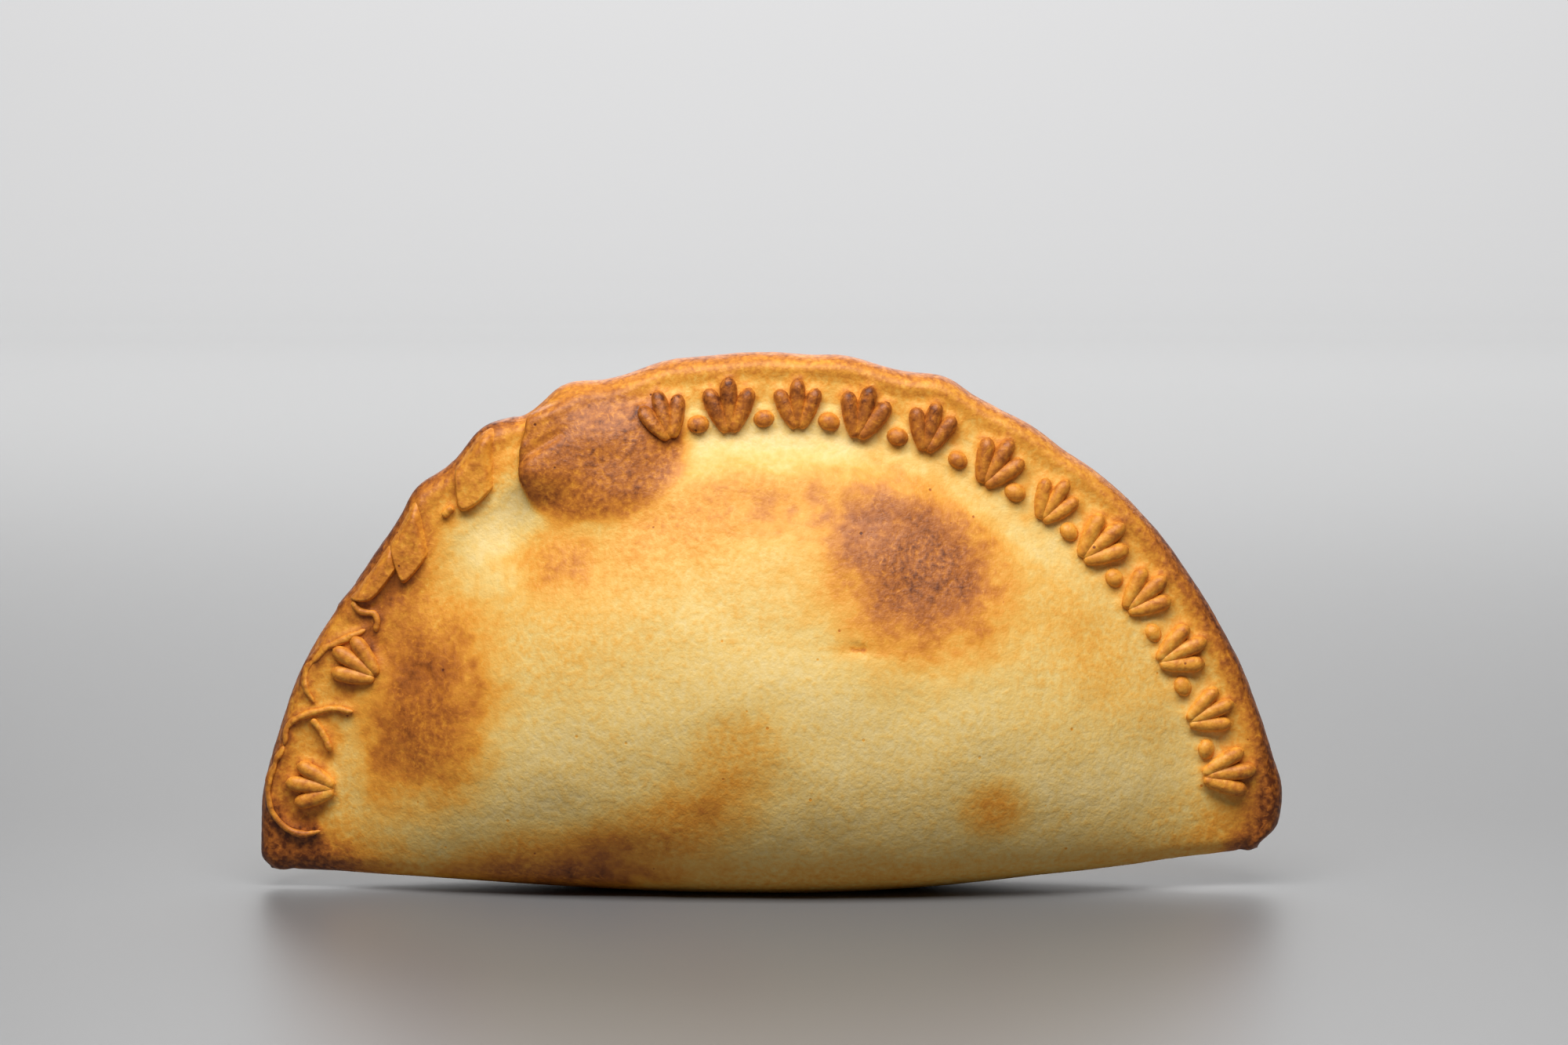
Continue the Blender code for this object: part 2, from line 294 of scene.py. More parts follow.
class Tree:
    """A node tree built from Python: numbers by expressions, and any other node by node()."""

    def __init__(self, group):
        self.group = group

    def node(self, kind, settings=None, sockets=None):
        """Adds a node: its type, then its settings, then the values or links of its sockets."""
        made = self.group.nodes.new(kind)
        for name, value in (settings or {}).items():
            if name == "stops":
                self._set_stops(made.color_ramp.elements, value)
            else:
                setattr(made, name, value)
        for name, value in (sockets or {}).items():
            self.feed(made.inputs[name], value)
        return made

    def feed(self, socket, value):
        """Sets a socket's value, or links one or several others to it."""
        for one in value if isinstance(value, list) else [value]:
            if isinstance(one, Number):
                one = one.socket
            if isinstance(one, bpy.types.NodeSocket):
                self.group.links.new(one, socket)
            else:
                socket.default_value = one

    def _set_stops(self, elements, stops):
        while len(elements) < len(stops):
            elements.new(1.0)
        for element, (place, colour) in zip(elements, stops):
            element.position = place
            element.color = colour

    def math(self, operation, *values):
        made = self.node("ShaderNodeMath", {"operation": operation}, dict(enumerate(values)))
        return Number(self, made.outputs[0])

    def parts(self, vector):
        """The three numbers of a vector."""
        made = self.node("ShaderNodeSeparateXYZ", {}, {0: vector})
        return [Number(self, made.outputs[i]) for i in range(3)]

    def vector(self, *numbers):
        return self.node("ShaderNodeCombineXYZ", {}, dict(enumerate(numbers))).outputs[0]

    def noise(self, place, grain, detail=2.0, roughness=0.5, twist=0.0):
        """Smooth noise around 0 with lumps of about this grain."""
        made = self.node(
            "ShaderNodeTexNoise",
            {},
            {
                "Vector": place,
                "Scale": 1 / grain,
                "Detail": detail,
                "Roughness": roughness,
                "Distortion": twist,
            },
        )
        return Number(self, made.outputs["Fac"]) - 0.5

    def read(self, name):
        """A number that was kept on the points of a piece."""
        made = self.node("ShaderNodeAttribute", {"attribute_name": name})
        return Number(self, made.outputs["Fac"])


class Growth(Tree):
    """A Geometry Nodes tree with named sizes. Its last nodes realize instances and set the material."""

    def __init__(self, name, sizes, takes_geometry=False):
        super().__init__(bpy.data.node_groups.new(name, "GeometryNodeTree"))
        face = self.group.interface
        face.new_socket("Geometry", in_out="OUTPUT", socket_type="NodeSocketGeometry")
        face.new_socket("Geometry", in_out="INPUT", socket_type="NodeSocketGeometry")
        for size_name, value in sizes.items():
            kind = "NodeSocketInt" if isinstance(value, int) else "NodeSocketFloat"
            face.new_socket(size_name, in_out="INPUT", socket_type=kind)
        entry = self.node("NodeGroupInput")
        self.given = entry.outputs["Geometry"]
        self.size = {size_name: Number(self, entry.outputs[size_name]) for size_name in sizes}

    def place(self):
        """The three numbers of each point's place."""
        return self.parts(self.node("GeometryNodeInputPosition").outputs[0])

    def move(self, geometry, to=None, by=None):
        sockets = {"Geometry": geometry}
        if to is not None:
            sockets["Position"] = to
        if by is not None:
            sockets["Offset"] = by
        return self.node("GeometryNodeSetPosition", {}, sockets).outputs[0]

    def keep(self, geometry, name, value):
        """Stores a number on every point, for the material to read."""
        made = self.node(
            "GeometryNodeStoreNamedAttribute",
            {"data_type": "FLOAT", "domain": "POINT"},
            {"Geometry": geometry, "Name": name, "Value": value},
        )
        return made.outputs[0]

    def read(self, name):
        made = self.node("GeometryNodeInputNamedAttribute", {"data_type": "FLOAT"}, {"Name": name})
        return Number(self, made.outputs["Attribute"])

    def chance(self, seed, low, high):
        """A seeded random number for each point."""
        made = self.node(
            "FunctionNodeRandomValue",
            {"data_type": "FLOAT"},
            {2: low, 3: high, "Seed": seed},
        )
        return Number(self, made.outputs[1])

    def roughen(self, geometry, height):
        """Pushes the surface out along its normals."""
        normal = self.node("GeometryNodeInputNormal").outputs["Normal"]
        push = self.node("ShaderNodeVectorMath", {"operation": "SCALE"}, {0: normal, "Scale": height})
        return self.move(geometry, by=push.outputs[0])

    def tube(self, line, width, sides):
        """A closed round body along a line, with this radius at each of its points."""
        circle = self.node("GeometryNodeCurvePrimitiveCircle", {}, {"Resolution": sides, "Radius": 1.0})
        body = self.node(
            "GeometryNodeCurveToMesh",
            {},
            {"Curve": line, "Profile Curve": circle.outputs[0], "Scale": width, "Fill Caps": True},
        )
        return body.outputs[0]

    def weld(self, geometry, distance):
        """Joins points that lie closer together than this distance."""
        made = self.node("GeometryNodeMergeByDistance", {}, {"Geometry": geometry, "Distance": distance})
        return made.outputs[0]

    def end(self, geometry, material):
        smooth = self.node("GeometryNodeSetShadeSmooth", {}, {"Geometry": geometry}).outputs[0]
        real = self.node("GeometryNodeRealizeInstances", {}, {"Geometry": smooth}).outputs[0]
        painted = self.node("GeometryNodeSetMaterial", {}, {"Geometry": real, "Material": material})
        self.node("NodeGroupOutput", {}, {"Geometry": painted.outputs[0]})


def grown(name, growth, sizes, start=None):
    """The plain mesh object that a Geometry Nodes tree makes with these sizes."""
    piece = bpy.data.objects.new(name, start or bpy.data.meshes.new(name))
    bpy.context.scene.collection.objects.link(piece)
    modifier = piece.modifiers.new(growth.group.name, "NODES")
    modifier.node_group = growth.group
    for socket in growth.group.interface.items_tree:
        if socket.in_out == "INPUT" and socket.name in sizes:
            modifier[socket.identifier] = sizes[socket.name]
    graph = bpy.context.evaluated_depsgraph_get()
    data = bpy.data.meshes.new_from_object(piece.evaluated_get(graph))
    bpy.data.objects.remove(piece)
    made = bpy.data.objects.new(name, data)
    bpy.context.scene.collection.objects.link(made)
    return made


def round_over(distance, width):
    """A quarter circle from 0 at an edge to 1 at width from it."""
    left = 1 - (distance / width).clamped()
    return (1 - left * left).root()


def hump(away, width):
    """1 in the middle of a rounded hump, falling off over this width on both its sides."""
    share = away / width
    power = -(share * share)
    return power.exp() if isinstance(power, Number) else math.exp(power)


def rim_lobes(angle):
    """How far the rim's outline stands out of the circle, at an angle in degrees."""
    total = 0
    for at, width, height in RIM_LOBES:
        total = total + height * hump(angle - at, width)
    return total


def fold_height(size, along):
    """Height of the folded edge above the lowest point."""
    right = along > 0
    rise = size["Fold Rise Left"] + right * (size["Fold Rise Right"] - size["Fold Rise Left"])
    reach = size["Fold Reach Left"] + right * (size["Fold Reach Right"] - size["Fold Reach Left"])
    share = along / reach
    return rise * along * along / (1 + share * share)


def from_blister(size, along, up):
    """How far a place lies outward and clockwise from the middle of the blister."""
    turn = size["Blister Angle"]
    reach = size["Disc Radius"] - size["Blister Inset"]
    aside = along - reach * turn.cosine()
    above = up - reach * turn.sine()
    outward = aside * turn.cosine() + above * turn.sine()
    clockwise = aside * turn.sine() - above * turn.cosine()
    return outward, clockwise


def blister_edge(outward, clockwise):
    """Distance inside the crisp left edge of the blister."""
    beyond = outward.above(0)
    return clockwise + BLISTER_SIDE["Left"] - beyond * beyond * BLISTER_SIDE["Bend"]


def blister_height(size, along, up):
    outward, clockwise = from_blister(size, along, up)
    across = outward / size["Blister Width"]
    lengthwise = clockwise / size["Blister Length"]
    spread = across * across + lengthwise * lengthwise
    return size["Blister Height"] * (-(spread ** size["Blister Steepness"])).exp()


def half_thickness(size, along, up, inset, front):
    """Depth of the pastry on one side of the seam's plane: rim, filled belly and, in front, the blister."""
    rim = size["Rim Half Thickness"] * round_over(up, size["Fold Edge Round"])
    share = (up / size["Disc Radius"]).clamped()
    rim_width = size["Rim Width Sides"] + (size["Rim Width Top"] - size["Rim Width Sides"]) * share * share
    beyond = inset - rim_width
    softness = size["Valley Softness"]
    ramp = 0.5 * (beyond + (beyond * beyond + softness * softness).root())
    rise = 1 - (-(ramp / (size["Back Rise"] + front * (size["Front Rise"] - size["Back Rise"])))).exp()
    foot_left = 1 - (up / size["Belly Foot"]).clamped()
    power = size["Belly Foot Power"]
    foot = (1 - foot_left**power).above(0) ** (1 / power)
    belly = size["Back Belly"] + front * (size["Front Belly"] - size["Back Belly"])
    belly = belly + size["Belly Unevenness"] * belly_waves(along, up)
    swelling = front * blister_height(size, along, up)
    return (rim + belly * rise * foot + swelling) * round_over(inset, size["Seam Edge Round"])


def belly_waves(along, up):
    """Slow waves that keep the belly from being even."""
    crossed = (along / (13 * MM) + 0.7).sine() * (up / (11 * MM)).cosine()
    slanted = (along / (21 * MM) - up / (17 * MM)).sine()
    return crossed + slanted


def standing_height(size, along, up):
    """Height over the table of a point that lies up above the fold."""
    drop = size["Seam Height"] - fold_height(size, along)
    z = size["Seam Height"] + up - drop * (-(up / size["Skirt Fade"])).exp()
    return (z - size["Resting Depth"]).above(0)


def degrees(radians):
    return radians * (180 / math.pi)


def folded_dough(material):
    """A square grid rounded into a disc, folded along X, filled and sealed along its edge."""
    cells = 300
    grading = 1.54
    tree = Growth("folded_dough", {**DOUGH_SIZES, **RELIEF_SIZES})
    size = tree.size
    marks = tree.given
    sheet = tree.node(
        "GeometryNodeMeshGrid",
        {},
        {"Size X": 2.0, "Size Y": 2.0, "Vertices X": cells + 1, "Vertices Y": cells + 1},
    ).outputs["Mesh"]
    x, y, _ = tree.place()
    flat = 1 - (abs(y) > abs(x))
    ring = flat * x + (1 - flat) * y
    turn = (flat * y + (1 - flat) * x) / ring
    angle = (1 - flat) * (math.pi / 2) + turn * (math.pi / 4) * (2 * flat - 1)
    graded = (ring * grading).sine() / math.sin(grading)
    across = graded * angle.cosine()
    up = graded * angle.sine()
    front = up > 0
    half_chord = (1 - across * across).above(0).root()
    share = abs(up) / half_chord
    roundness = size["Fold Roundness"]
    whole = (1 + roundness * roundness).root() - roundness
    height = half_chord * ((share * share + roundness * roundness).root() - roundness) / whole
    radius = (across * across + height * height).root().below(1)
    lobes = rim_lobes(degrees(tree.math("ARCTAN2", height, across)))
    scale = size["Disc Radius"] + lobes * radius**LOBE_FADE
    inset = scale * (1 - radius)
    depth = half_thickness(size, scale * across, scale * height, inset, front)
    z = standing_height(size, scale * across, scale * height)
    dough = sheet
    for name, value in (("along", scale * across), ("up", scale * height), ("seam_distance", inset)):
        dough = tree.keep(dough, name, value)
    dough = tree.keep(dough, "front", front)
    edge = blister_edge(*from_blister(size, scale * across, scale * height))
    dough = tree.keep(dough, "blister_side", front * edge.step(-0.5 * MM, 0.3 * MM))
    dough = tree.move(dough, to=tree.vector(scale * across, depth * (1 - 2 * front), z))
    dough = tree.weld(dough, 0.005 * MM)
    gap = tree.node("GeometryNodeProximity", {"target_element": "FACES"}, {0: marks}).outputs["Distance"]
    dough = tree.keep(dough, "mark_distance", Number(tree, gap))
    dough = tree.roughen(dough, dough_relief(tree))
    tree.end(dough, material)
    return tree


def dough_relief(tree):
    """Lumps, ripples and grain, the feet of the marks, the blister's lip and the small crack."""
    size = tree.size
    place = tree.node("GeometryNodeInputPosition").outputs[0]
    height = tree.parts(place)[2]
    along, up = tree.read("along"), tree.read("up")
    front = tree.read("front")
    lumps = tree.noise(place, size["Lump Grain"], 1.0) * size["Lump Height"]
    ripples = tree.noise(place, size["Ripple Grain"]) * size["Ripple Height"]
    grain = tree.noise(place, size["Fine Grain"]) * size["Fine Height"]
    settled = height.step(size["Resting Rim"], size["Settled Height"])
    foot = hump(tree.read("mark_distance"), size["Mark Foot Width"]) * size["Mark Foot Height"]
    lip = blister_lip(tree, along, up)
    crack = crack_shape(tree, along, up) * size["Crack Depth"]
    inset = tree.read("seam_distance")
    above_belly = abs(along - size["Crest Middle"]).step(size["Crest Reach"], size["Crest Full"])
    crest = hump(inset - size["Crest Inset"], size["Crest Width"]) * size["Crest Height"] * above_belly
    uneven = (0.6 + 1.6 * tree.noise(place, size["Edge Lip Grain"])).clamped()
    everywhere = (lumps + ripples + grain) * settled + foot + edge_lip(size, inset) * uneven
    return everywhere + front * (lip - crack + crest)


def edge_lip(size, inset):
    """A low ridge along the seam's edge, with a shallow groove inside it."""
    ridge = hump(inset - size["Edge Lip Inset"], size["Edge Lip Width"]) * size["Edge Lip Height"]
    groove = hump(inset - size["Edge Groove Inset"], size["Edge Groove Width"]) * size["Edge Groove Depth"]
    return ridge - groove


def blister_lip(tree, along, up):
    """The steep left side of the blister, with a wrinkle that runs down to its foot."""
    size = tree.size
    outward, clockwise = from_blister(size, along, up)
    edge = blister_edge(outward, clockwise)
    within = outward.step(-3 * MM, 1.5 * MM) * outward.step(8.5 * MM, 6.5 * MM)
    shelf = edge.step(-0.35 * MM, 0.5 * MM) * edge.step(BLISTER_SIDE["Left"], 1.2 * MM) * within
    width = BLISTER_SIDE["Wrinkle Width"]
    line = outward - BLISTER_SIDE["Wrinkle Outward"] - BLISTER_SIDE["Wrinkle Lean"] * clockwise
    shoulder = BLISTER_SIDE["Shoulder"] * hump(line + 1.7 * width, 1.4 * width)
    furrow = hump(line, width)
    length = clockwise.step(-BLISTER_SIDE["Left"], -7.6 * MM) * clockwise.step(-0.5 * MM, -3.5 * MM)
    return shelf * size["Blister Lip"] + (shoulder - furrow) * length * size["Wrinkle Depth"]


def crack_shape(tree, along, up):
    """A short crack in the belly with a faint crease on both its sides."""
    aside = along - CRACK["Along"]
    wander = tree.noise(tree.vector(along, up, 0), 3 * MM) * CRACK["Wander"]
    across = up - CRACK["Up"] + CRACK["Lean"] * aside + wander
    crease = hump(across, CRACK["Crease Width"]) * abs(aside).step(6.5 * MM, 1.5 * MM)
    split = hump(across, CRACK["Split Width"]) * abs(aside).step(1.2 * MM, 0.7 * MM)
    return CRACK["Crease"] * crease + split


def laid_on_front(tree, geometry, least_inset):
    """Lays flat marks on the front: X along and Y up from the seam's centre, Z off the surface."""
    size = tree.size
    along, up, lift = tree.place()
    reach = (along * along + up * up).root()
    angle = degrees(tree.math("ARCTAN2", up, along))
    fade = (reach / size["Disc Radius"]) ** LOBE_FADE
    inset = size["Disc Radius"] + rim_lobes(angle) * fade - reach
    depth = half_thickness(size, along, up, inset.above(least_inset), 1)
    values = {"along": along, "up": up, "seam_distance": inset, "raised": lift / MM, "front": lift * 0 + 1}
    for name, value in values.items():
        geometry = tree.keep(geometry, name, value)
    laid = tree.move(geometry, to=tree.vector(along, -(depth + lift), standing_height(size, along, up)))
    place = tree.node("GeometryNodeInputPosition").outputs[0]
    return tree.roughen(laid, tree.noise(place, MARK_GRAIN) * MARK_UNEVENNESS)


def rim_reach(size, angle, inset):
    """Distance from the seam's centre of a place on the rim; the angle is in radians."""
    fade = (1 - inset / size["Disc Radius"]) ** LOBE_FADE
    return size["Disc Radius"] + rim_lobes(degrees(angle)) * fade - inset


def rim_points(tree, wobble):
    """Points along the rim, with the turn that faces each outward and a seeded size."""
    size = tree.size
    points = tree.node("GeometryNodePoints", {}, {"Count": size["Count"]}).outputs[0]
    index = Number(tree, tree.node("GeometryNodeInputIndex").outputs[0])
    angle = size["First Angle"] + size["Pitch"] * index + tree.chance(size["Seed"], -1, 1) * ANGLE_CHANCE
    reach = rim_reach(size, angle, size["Inset"])
    points = tree.move(points, to=tree.vector(reach * angle.cosine(), reach * angle.sine(), 0))
    lean = wobble * (1 - 2 * (index - 2 * tree.math("FLOOR", index / 2)))
    lean = lean + tree.chance(size["Seed"] + 11, -1, 1) * wobble * LEAN_CHANCE
    turn = tree.vector(0, 0, angle - math.pi / 2 - lean)
    turned = tree.node("FunctionNodeEulerToRotation", {}, {0: turn}).outputs[0]
    grown_by = tree.chance(size["Seed"] + 23, LEAST_GROWTH, MOST_GROWTH)
    return points, turned, grown_by


def petal(tree, length, side):
    """One petal that points outward along Y from its foot: side is -1, 0 or 1."""
    size = tree.size
    line = tree.node(
        "GeometryNodeCurvePrimitiveLine",
        {"mode": "POINTS"},
        {"Start": tree.vector(0, -size["Foot"], 0), "End": tree.vector(0, length - size["Foot"], 0)},
    ).outputs[0]
    line = tree.node("GeometryNodeResampleCurve", {}, {"Curve": line, "Count": 22}).outputs[0]
    share = Number(tree, tree.node("GeometryNodeSplineParameter").outputs["Factor"])
    spread = size["Spread"] * side * share ** size["Curl"]
    line = tree.move(line, by=tree.vector(spread, 0, size["Petal Lift"] * (0.6 + 0.6 * share)))
    swelling = size["Waist"] + (1 - size["Waist"]) * (share * (math.pi * 0.85)).sine()
    ends = round_over(share, size["Foot Round"]) * round_over(1 - share, size["Tip Round"])
    width = size["Petal Radius"] * swelling * (ends + LEAST_END)
    return tree.tube(line, width, 16)


def spray_border(material):
    """Sprays of three petals, one after another along the rim."""
    sizes = {**DOUGH_SIZES, **SPRAY_SIZES, **RIGHT_SPRAYS}
    tree = Growth("spray_border", sizes)
    size = tree.size
    petals = [petal(tree, size["Side Length"], -1), petal(tree, size["Middle Length"], 0)]
    petals.append(petal(tree, size["Side Length"], 1))
    spray = tree.node("GeometryNodeJoinGeometry", {}, {0: petals}).outputs[0]
    tree.end(laid_on_front(tree, along_rim(tree, spray, size["Tilt"]), size["Seam Edge Round"]), material)
    return tree


def bead_border(material):
    """Round beads, one between each two sprays."""
    tree = Growth("bead_border", {**DOUGH_SIZES, **BEAD_SIZES})
    size = tree.size
    ball = tree.node(
        "GeometryNodeMeshUVSphere",
        {},
        {"Segments": 20, "Rings": 12, "Radius": size["Bead Radius"]},
    ).outputs[0]
    x, y, z = tree.place()
    ball = tree.move(ball, to=tree.vector(x * 1.12, y * 0.9, z * size["Bead Flatness"] + size["Bead Lift"]))
    tree.end(laid_on_front(tree, along_rim(tree, ball, 0.1), size["Seam Edge Round"]), material)
    return tree


def along_rim(tree, shape, wobble):
    points, turned, grown_by = rim_points(tree, wobble)
    placed = tree.node(
        "GeometryNodeInstanceOnPoints",
        {},
        {"Points": points, "Instance": shape, "Rotation": turned, "Scale": grown_by},
    ).outputs[0]
    return tree.node("GeometryNodeRealizeInstances", {}, {0: placed}).outputs[0]


def squeezed_ridge(material):
    """A thin ridge along a flat guide curve, with an uneven width and rounded ends."""
    tree = Growth("squeezed_ridge", {**DOUGH_SIZES, **RIDGE_SIZES})
    size = tree.size
    line = tree.node("GeometryNodeResampleCurve", {}, {"Curve": tree.given, "Count": 70}).outputs[0]
    place = tree.node("GeometryNodeInputPosition").outputs[0]
    wander = tree.noise(place, size["Wander Grain"]) * size["Wander"]
    line = tree.move(line, by=tree.vector(wander, -wander, size["Ridge Lift"]))
    share = Number(tree, tree.node("GeometryNodeSplineParameter").outputs["Factor"])
    ends = round_over(share, 0.1) * round_over(1 - share, 0.2)
    width = size["Ridge Radius"] * (0.95 + tree.noise(place, 1.7 * MM)) * (ends + LEAST_END)
    tree.end(laid_on_front(tree, tree.tube(line, width, 14), 0.4 * MM), material)
    return tree


def slanted_tab(material):
    """A pad that reaches in from the seam, with crisp left and lower edges that merge to the right."""
    tree = Growth("slanted_tab", {**DOUGH_SIZES, **TAB_SIZES, "Angle": 0.0, "Depth": 1.0, "Left Lean": 0.0})
    size = tree.size
    width, reach_in = size["Patch Width"], size["Patch Reach"]
    patch = tree.node(
        "GeometryNodeMeshGrid",
        {},
        {"Size X": width, "Size Y": reach_in, "Vertices X": 110, "Vertices Y": 60},
    ).outputs["Mesh"]
    x, y, _ = tree.place()
    inset = reach_in / 2 - y + size["Outermost"]
    from_corner = x - size["Corner Clockwise"]
    foot_line = size["Corner Inset"] * size["Depth"]
    left = from_corner + size["Left Lean"] * (inset - foot_line)
    foot = foot_line + size["Foot Lean"] * from_corner - inset
    right = size["Right Clockwise"] - x + size["Right Lean"] * (inset - foot_line)
    apart = left - foot
    crisp = 0.5 * (left + foot - (apart * apart + size["Corner Roundness"] * size["Corner Roundness"]).root())
    raised = crisp.step(-size["Edge Width"] * 0.5, size["Edge Width"] * 0.5)
    raised = raised * right.step(0.0, size["Merge Width"]) * round_over(inset - 0.2 * MM, size["Seam Round"])
    lift = (size["Tab Lift"] + size["Sunk"]) * raised - size["Sunk"]
    angle = size["Angle"] - x / size["Disc Radius"]
    reach = rim_reach(size, angle, inset)
    solid = tree.node(
        "GeometryNodeExtrudeMesh",
        {"mode": "FACES"},
        {"Mesh": patch, "Offset Scale": 0.0, "Individual": False},
    )
    flipped = tree.node("GeometryNodeFlipFaces", {}, {"Mesh": patch}).outputs[0]
    body = tree.node("GeometryNodeJoinGeometry", {}, {0: [solid.outputs["Mesh"], flipped]}).outputs[0]
    raised_side = Number(tree, solid.outputs["Top"])
    body = tree.keep(body, "lid", raised_side)
    lid = tree.read("lid").step(0.4, 0.6)
    z = lift - (1 - lid) * size["Patch Thickness"]
    body = tree.move(body, to=tree.vector(reach * angle.cosine(), reach * angle.sine(), z))
    body = tree.weld(body, 0.001 * MM)
    tree.end(laid_on_front(tree, body, 0.3 * MM), material)
    return tree


def guide_curve(name, path):
    """A smooth flat curve through places on the rim, given as angle in degrees and inset in mm."""
    curve = bpy.data.curves.new(name, "CURVE")
    curve.dimensions = "3D"
    line = curve.splines.new("BEZIER")
    line.bezier_points.add(len(path) - 1)
    for point, (angle, inset) in zip(line.bezier_points, path):
        fade = (1 - inset * MM / DOUGH_SIZES["Disc Radius"]) ** LOBE_FADE
        reach = DOUGH_SIZES["Disc Radius"] + rim_lobes(angle) * fade - inset * MM
        turn = math.radians(angle)
        point.co = (reach * math.cos(turn), reach * math.sin(turn), 0)
        point.handle_left_type = "AUTO"
        point.handle_right_type = "AUTO"
    return curve


# How the crust colours as it bakes
BAKING_COLOURS = (
    (0.00, (0.90, 0.67, 0.28, 1)),
    (0.18, (0.88, 0.59, 0.18, 1)),
    (0.36, (0.87, 0.47, 0.090, 1)),
    (0.54, (0.82, 0.34, 0.036, 1)),
    (0.72, (0.62, 0.21, 0.022, 1)),
    (0.86, (0.42, 0.122, 0.016, 1)),
    (1.00, (0.13, 0.028, 0.004, 1)),
)

# Browned spots of the front: place along and up, half-length, half-width, turn in degrees, strength
BROWN_SPOTS = (
    (16.8, 39.4, 19.0, 16.5, -20, 0.20),
    (16.8, 38.0, 16.0, 14.5, -50, 0.48),
    (18.8, 36.5, 9.0, 10.0, 0, 0.12),
    (-13.5, 43.0, 23.0, 10.0, 14, 0.20),
    (-8.0, 45.0, 15.0, 6.5, 10, 0.14),
    (5.0, 46.0, 17.0, 6.5, -4, 0.16),
    (-12.0, 35.0, 24.0, 13.0, 10, 0.10),
    (-26.5, 39.0, 7.0, 6.0, 0, 0.24),
    (-28.0, 29.0, 15.0, 11.0, 40, 0.12),
    (-41.5, 24.0, 20.0, 11.0, 86, 0.36),
    (-41.0, 18.0, 12.0, 10.5, 80, 0.33),
    (-50.0, 10.0, 12.0, 9.0, 70, 0.14),
    (-47.5, 25.0, 15.0, 6.5, 76, 0.12),
    (-41.5, 31.0, 10.0, 8.5, 70, 0.17),
    (-4.6, 15.8, 9.0, 7.2, 40, 0.26),
    (-13.0, 7.2, 15.0, 6.4, 20, 0.39),
    (-27.5, 3.2, 13.5, 5.6, 8, 0.44),
    (8.0, 2.5, 26.0, 4.5, 0, 0.14),
    (26.7, 9.6, 5.4, 4.6, 0, 0.40),
    (41.5, 28.0, 18.0, 8.0, 118, 0.20),
    (33.0, 30.0, 16.0, 11.0, 100, 0.12),
    (47.0, 4.0, 13.0, 6.5, 10, 0.12),
)

# The blister's brown and its darker heart, in the same terms
BLISTER_SPOT = (-21.2, 50.6, 12.4, 8.5, 12, 1.0)
BLISTER_HEART = (-20.0, 50.5, 9.0, 5.0, 10, 0.08)

# What each cause adds to the baking level, which goes from 0 for pale dough to 1 for dark brown; the mark
# foot shade and crack entries are painted shade, and the hollow's entry is partly painted light
BROWNING = {
    "dough": 0.12,
    "broad patches": 0.26,
    "small patches": 0.14,
    "rim": 0.30,
    "left rim": 0.05,
    "pale_lit_hollow": -0.14,
    "edge": 0.20,
    "right edge": 0.26,
    "very edge": 0.22,
    "left tip": 0.72,
    "right tip": 0.44,
    "blister": 0.81,
    "back": 0.08,
    "back middle": 0.22,
    "back patches": 0.20,
    "fold": 0.16,
    "left fold": 0.18,
    "mark foot shade": 0.16,
    "crack": 0.30,
    "speck": 0.35,
}

# The marks start browner than the dough, and their tops and the upper ones brown the most
MARK_BROWNING = {
    "start": 0.56,
    "share of the dough": 0.4,
    "low marks": -0.14,
    "tabs": -0.05,
    "top": 0.08,
    "top of the upper marks": 0.12,
    "small patches": 0.25,
}


# Grain of the noises that the crust's look follows, from the tray's marks on the back down to pores
TRAY_GRAIN = 17 * MM
BROAD_GRAIN = 11 * MM
PATCH_GRAIN = 3.6 * MM
MOTTLE_GRAIN = 1.5 * MM
PALE_FLECK_GRAIN = 1.0 * MM
FLECK_GRAIN = 0.75 * MM
PORE_GRAIN = 0.25 * MM

# Size of the cells that can hold one dark speck, and the share of them that hold none
SPECK_CELL = 2.8 * MM
SPECKLESS_SHARE = 0.62

# The hollow between the rim and the belly, paler along the top: partly pale dough, partly painted light
HOLLOW_INSET = 11 * MM
HOLLOW_WIDTH = 3.0 * MM

# Above this level everything darkens the crust less
DARK_KNEE = 0.84


class CrustPlace:
    """Where a point of the crust lies on the dough, and the noises that browning follows there."""

    def __init__(self, tree):
        self.tree = tree
        self.point = tree.node("ShaderNodeTexCoord").outputs["Object"]
        self.along, self.up = tree.read("along"), tree.read("up")
        self.inset, self.front = tree.read("seam_distance"), tree.read("front")
        self.angle = degrees(tree.math("ARCTAN2", self.up, self.along))
        self.broad = tree.noise(self.point, BROAD_GRAIN, 2)
        self.patchy = tree.noise(self.point, PATCH_GRAIN, 3)
        self.mottle = tree.noise(self.point, MOTTLE_GRAIN, 3, 0.6)
        self.fleck = tree.noise(self.point, FLECK_GRAIN, 2, 0.55)
        self.ragged = self.broad * 0.34 + self.patchy * 0.64 + self.mottle * 0.60


def spot(at, values, raggedness=1.0, inner=0.25, outer=1.15):
    """A browned spot whose ragged edge fades between two shares of its size."""
    at_along, at_up, length, width, turn, strength = values
    aside = at.along - at_along * MM
    above = at.up - at_up * MM
    lean = math.radians(turn)
    lengthwise = (aside * math.cos(lean) + above * math.sin(lean)) / (length * MM)
    sideways = (above * math.cos(lean) - aside * math.sin(lean)) / (width * MM)
    away = (lengthwise * lengthwise + sideways * sideways).root() + at.ragged * raggedness
    return away.step(outer, inner) * strength


